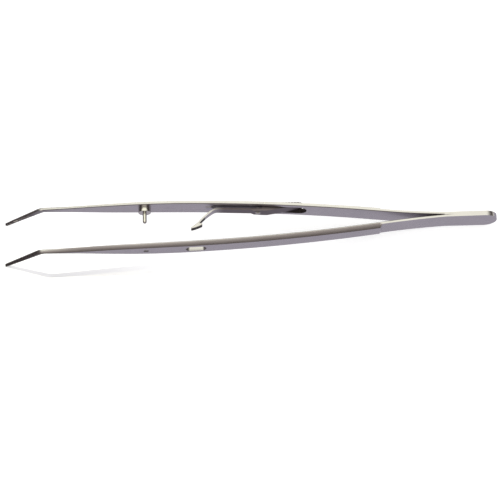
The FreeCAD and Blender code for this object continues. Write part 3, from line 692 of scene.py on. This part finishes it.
def make_room(stage):
    """The room as the steel mirrors it: dark brown-grey in front where the camera stands, a bright cream
    ceiling and back wall, and dark ends; plain white for the camera and for the light on the table. The
    height is the angle of the direction about the pliers' length, from the front horizon."""
    world = bpy.data.worlds.new("room")
    world.use_nodes = True
    bpy.context.scene.world = world
    tree = world.node_tree
    tree.nodes.clear()
    path = add_node(tree, "ShaderNodeLightPath")
    place = add_node(tree, "ShaderNodeTexCoord")
    axes = add_node(tree, "ShaderNodeSeparateXYZ", inputs={"Vector": place.outputs["Generated"]})
    front = add_node(tree, "ShaderNodeMath", {"operation": "MULTIPLY"}, {0: axes.outputs["Y"], 1: -1.0})
    height = add_node(tree, "ShaderNodeMath", {"operation": "ARCTAN2"}, {
        0: axes.outputs["Z"], 1: front.outputs[0]})
    part = add_node(tree, "ShaderNodeMath", {"operation": "DIVIDE"}, {0: height.outputs[0], 1: math.pi})
    bands = add_node(tree, "ShaderNodeValToRGB", inputs={"Fac": part.outputs[0]})
    stops = bands.color_ramp.elements
    while len(stops) < len(ROOM_BANDS):
        stops.new(1.0)
    for stop, (position, colour) in zip(stops, ROOM_BANDS):
        stop.position = position
        stop.color = linear(colour)
    endways = add_node(tree, "ShaderNodeMath", {"operation": "ABSOLUTE"}, {0: axes.outputs["X"]})
    dark_ends = add_node(tree, "ShaderNodeMapRange", {"interpolation_type": "SMOOTHSTEP"}, {
        "Value": endways.outputs[0], "From Min": ENDS_FROM, "From Max": ENDS_FULL})
    walls = add_node(tree, "ShaderNodeMix", {"data_type": "RGBA"}, {
        MIX_FACTOR: dark_ends.outputs["Result"], MIX_FIRST: bands.outputs["Color"],
        MIX_SECOND: linear(stage.end_colour)})
    room = add_node(tree, "ShaderNodeBackground", inputs={
        "Color": walls.outputs[MIX_RESULT], "Strength": stage.room_strength})
    white = add_node(tree, "ShaderNodeBackground", inputs={"Color": linear(WHITE), "Strength": 1.0})
    seen = add_node(tree, "ShaderNodeMixShader", inputs={
        0: path.outputs["Is Glossy Ray"], 1: white.outputs["Background"], 2: room.outputs["Background"]})
    add_node(tree, "ShaderNodeOutputWorld", inputs={"Surface": seen.outputs["Shader"]})


def make_camera(stage):
    """A long lens on the line given by azimuth and elevation, rolled about that line, and moved sideways and
    up without turning."""
    azimuth, elevation, roll = (math.radians(angle) for angle in (stage.azimuth, stage.elevation, stage.roll))
    back = Vector((math.sin(azimuth) * math.cos(elevation), -math.cos(azimuth) * math.cos(elevation),
                   math.sin(elevation)))
    level = Vector((math.cos(azimuth), math.sin(azimuth), 0))
    upward = back.cross(level)
    right = level * math.cos(roll) + upward * math.sin(roll)
    up = upward * math.cos(roll) - level * math.sin(roll)
    aim = Vector((0, 0, stage.aim_height)) + right * stage.aim_across + up * stage.aim_up
    data = bpy.data.cameras.new("camera")
    data.lens = stage.lens
    data.clip_start = 0.01
    data.clip_end = 20
    camera = bpy.data.objects.new("camera", data)
    turn = Matrix((right, up, back)).transposed()
    camera.matrix_world = Matrix.Translation(aim * MM + back * stage.distance) @ turn.to_4x4()
    bpy.context.scene.collection.objects.link(camera)
    bpy.context.scene.camera = camera


class PLIERS_OT_stage(bpy.types.Operator):
    """Table, soft light and the camera at the photograph's angle"""

    bl_idname = "pliers.stage"
    bl_label = "Stage"

    def execute(self, context):
        stage = context.scene.pliers_stage
        make_table(stage)
        make_room(stage)
        make_camera(stage)
        context.scene.view_settings.view_transform = "Standard"
        return {"FINISHED"}


class PLIERS_PT_panel(bpy.types.Panel):
    """Sidebar panel with the pieces, finishes and stage"""

    bl_idname = "PLIERS_PT_panel"
    bl_label = "Dressing pliers"
    bl_space_type = "VIEW_3D"
    bl_region_type = "UI"
    bl_category = "Pliers"

    def draw(self, context):
        for kind in STEPS:
            self.layout.operator(kind.bl_idname)
        for group in (context.scene.pliers_finish, context.scene.pliers_stage):
            for key in group.__annotations__:
                self.layout.prop(group, key)


STEPS = (PLIERS_OT_lower_arm, PLIERS_OT_upper_arm, PLIERS_OT_pins, PLIERS_OT_lever, PLIERS_OT_leaf_spring,
         PLIERS_OT_stage)
CLASSES = (PliersFinish, PliersStage, *STEPS, PLIERS_PT_panel)


def register():
    """Registers the classes and gives the scene its two groups of values."""
    for kind in CLASSES:
        bpy.utils.register_class(kind)
    bpy.types.Scene.pliers_finish = bpy.props.PointerProperty(type=PliersFinish)
    bpy.types.Scene.pliers_stage = bpy.props.PointerProperty(type=PliersStage)


def unregister():
    """Takes back what register did, in the opposite order."""
    del bpy.types.Scene.pliers_stage
    del bpy.types.Scene.pliers_finish
    for kind in reversed(CLASSES):
        bpy.utils.unregister_class(kind)


def main():
    """Makes every piece and the stage in order."""
    register()
    for kind in STEPS:
        group, name = kind.bl_idname.split(".")
        getattr(getattr(bpy.ops, group), name)()


if __name__ == "__main__":
    main()
